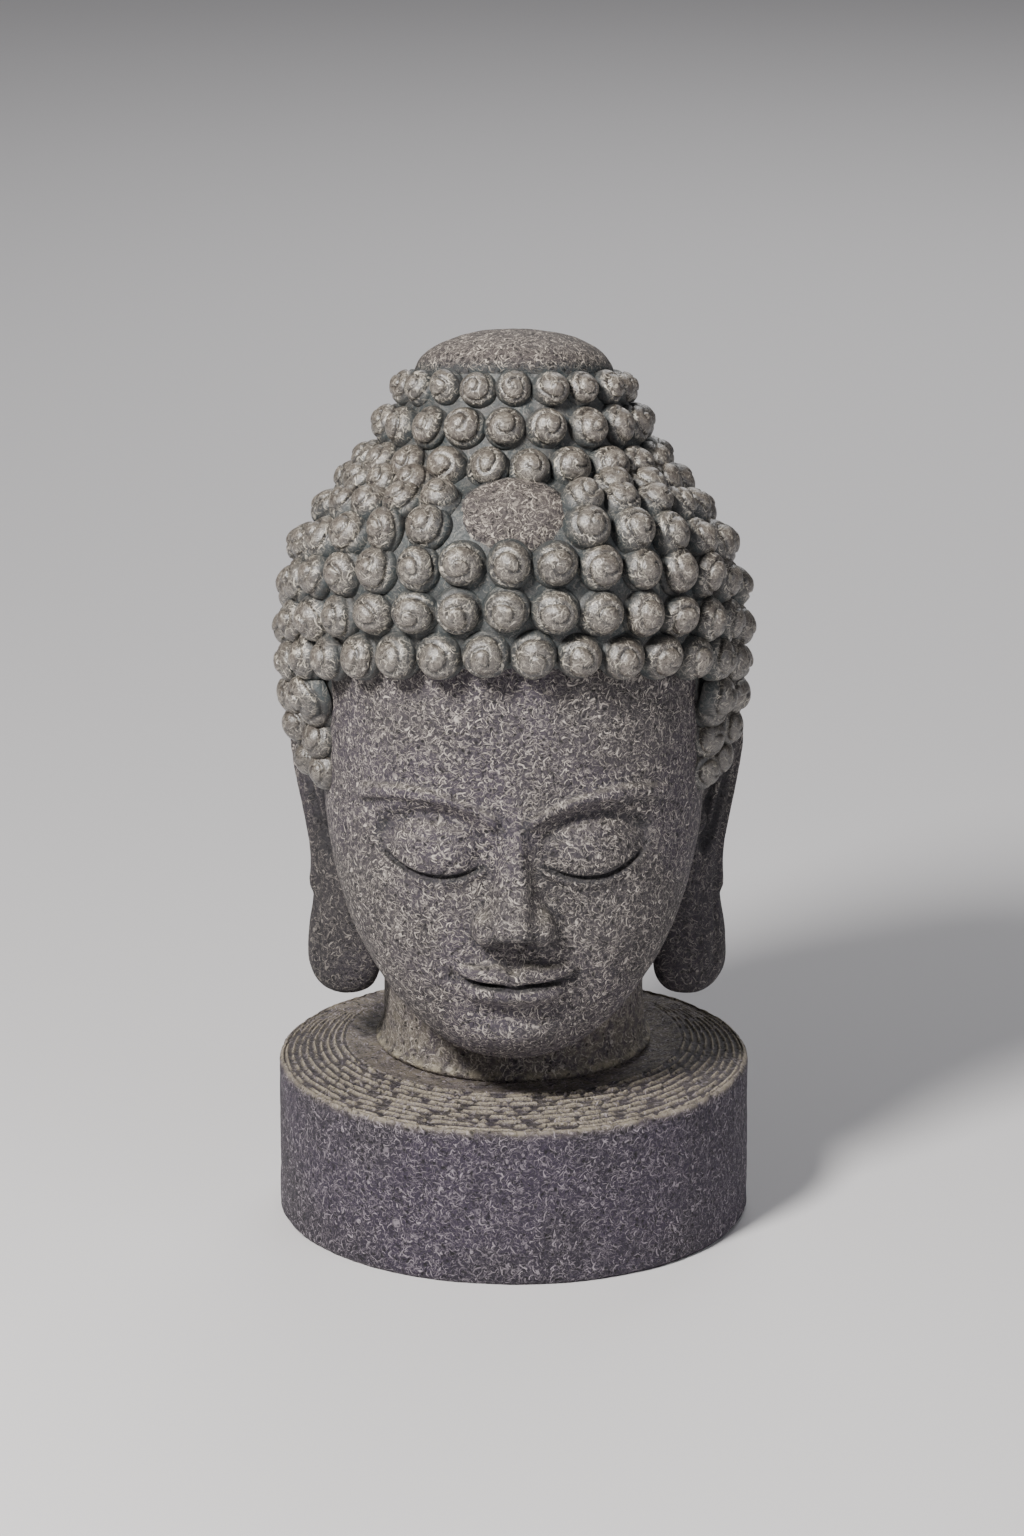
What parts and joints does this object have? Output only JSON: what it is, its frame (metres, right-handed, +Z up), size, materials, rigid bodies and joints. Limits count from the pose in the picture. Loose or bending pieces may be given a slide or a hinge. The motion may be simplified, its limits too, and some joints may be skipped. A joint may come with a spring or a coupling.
{
  "type": "stone buddha head ornament",
  "caption": "Carved stone head with snail-shell curls, a domed crown, long ears and lowered eyes, on a round stone plinth.",
  "frame": {"origin": "centre of the plinth's flat underside", "axes": "+Z up, the face looks towards -Y, +X is on the right of someone facing it"},
  "size_m": [0.1042, 0.1087, 0.1992],
  "materials": {
    "carved_stone": "dark warm grey stone, carved and rubbed matt, with pale flecks, dark pits, khaki dust on what faces up and a grey-green patina between the curls",
    "plinth_stone": "dark violet-grey stone, rough-rubbed side with pale flecks, and broken tool rings with khaki dust on the top"
  },
  "bodies": {
    "root": {"head": "carved_stone", "plinth": "plinth_stone"}
  },
  "joints": []
}
